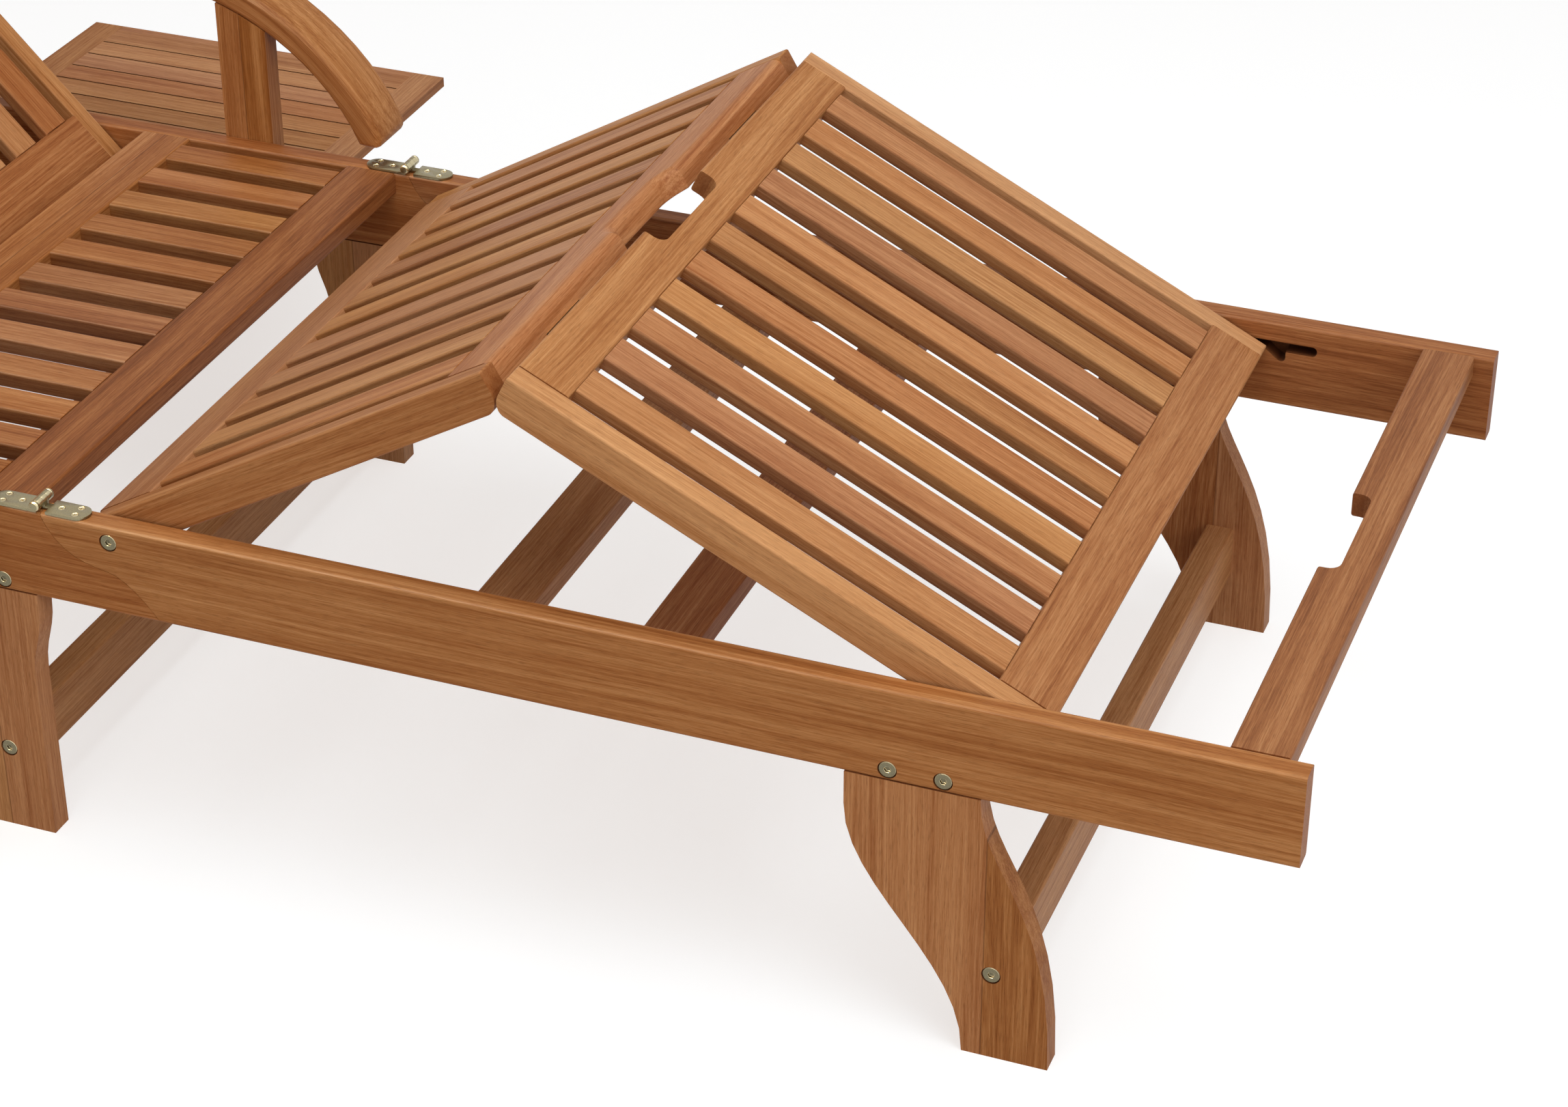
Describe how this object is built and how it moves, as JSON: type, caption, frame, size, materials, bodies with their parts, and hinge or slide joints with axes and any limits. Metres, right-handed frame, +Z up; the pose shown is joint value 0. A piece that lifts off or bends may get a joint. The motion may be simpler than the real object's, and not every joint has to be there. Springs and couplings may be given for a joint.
{
  "type": "deckchair",
  "caption": "Folding slatted wooden lounger with a raised knee, propped backrest, curved armrests, a sliding side tray and strap hinges on its side rails.",
  "frame": {"origin": "on the floor, under the middle of the chair's own box as the picture shows it, with the tray pulled out on the far side", "axes": "+X towards the foot end, +Y towards the side on which the tray is pulled out, +Z up"},
  "size_m": [2.03, 1.116, 0.725],
  "materials": {
    "hardwood": "oiled, satin",
    "brass": "brushed, slightly dulled"
  },
  "bodies": {
    "seat_frame": {"seat_rail_near": "hardwood", "seat_rail_far": "hardwood", "seat_front_bar": "hardwood", "seat_rear_bar": "hardwood", "seat_slats": "hardwood", "head_cross_rail": "hardwood", "mid_leg_near": "hardwood", "mid_leg_far": "hardwood", "mid_stretcher": "hardwood", "head_leg_near": "hardwood", "head_leg_far": "hardwood", "head_stretcher": "hardwood", "armrest_near": "hardwood", "armrest_far": "hardwood", "front_arm_post_near": "hardwood", "front_arm_post_far": "hardwood", "rear_arm_post_near": "hardwood", "rear_arm_post_far": "hardwood", "tray_runners": "hardwood", "seat_frame_bolts": "brass", "back_pivot_bolts": "brass", "seat_hinge_leaves": "brass", "fold_hinge_pins": "brass", "seat_hinge_screws": "brass"},
    "foot_frame": {"foot_rail_near": "hardwood", "foot_rail_far": "hardwood", "foot_cross_rail": "hardwood", "cross_boards": "hardwood", "foot_leg_near": "hardwood", "foot_leg_far": "hardwood", "foot_stretcher": "hardwood", "foot_frame_bolts": "brass", "thigh_pivot_bolts": "brass", "foot_hinge_leaves": "brass", "foot_hinge_screws": "brass"},
    "thigh_panel": {"thigh_stile_near": "hardwood", "thigh_stile_far": "hardwood", "thigh_knee_rail": "hardwood", "thigh_pivot_rail": "hardwood", "thigh_slats": "hardwood", "thigh_hinge_leaves": "brass", "knee_hinge_pins": "brass"},
    "calf_panel": {"calf_stile_near": "hardwood", "calf_stile_far": "hardwood", "calf_knee_rail": "hardwood", "calf_foot_rail": "hardwood", "calf_slats": "hardwood", "calf_hinge_leaves": "brass", "calf_guide_pins": "brass"},
    "backrest": {"back_stile_near": "hardwood", "back_stile_far": "hardwood", "back_pivot_rail": "hardwood", "back_top_rail": "hardwood", "back_slats": "hardwood", "prop_pivot_pins": "brass"},
    "prop": {"prop_struts": "hardwood", "prop_cross_bar": "hardwood", "prop_guide_pins": "brass"},
    "tray": {"tray_end_boards": "hardwood", "tray_boards": "hardwood"}
  },
  "joints": [
    {"name": "frame_fold", "type": "hinge", "parent": "seat_frame", "child": "foot_frame", "pos_m": [-0.021, -0.15555, 0.3255], "axis": [0, -1, 0], "range_deg": [0, 120]},
    {"name": "knee_lower", "type": "hinge", "parent": "foot_frame", "child": "thigh_panel", "pos_m": [0.043, -0.15555, 0.3045], "axis": [0, 1, 0], "range_deg": [0, 30]},
    {"name": "knee_bend", "type": "hinge", "parent": "thigh_panel", "child": "calf_panel", "pos_m": [0.37859, -0.15555, 0.49075], "axis": [0, 1, 0], "range_deg": [-56.5, 0]},
    {"name": "back_recline", "type": "hinge", "parent": "seat_frame", "child": "backrest", "pos_m": [-0.3557, -0.15555, 0.3045], "axis": [0, -1, 0], "range_deg": [-14, 45.9]},
    {"name": "prop_swing", "type": "hinge", "parent": "backrest", "child": "prop", "pos_m": [-0.5365, -0.15555, 0.47742], "axis": [0, -1, 0], "range_deg": [-87.5, 27]},
    {"name": "tray_slide", "type": "slide", "parent": "seat_frame", "child": "tray", "axis": [0, -1, 0], "range_m": [0, 0.3685]}
  ],
  "couplings": [
    {"joint": "knee_bend", "follows": "knee_lower", "ratio": -1.8802},
    {"joint": "prop_swing", "follows": "back_recline", "ratio": -1.8991}
  ]
}
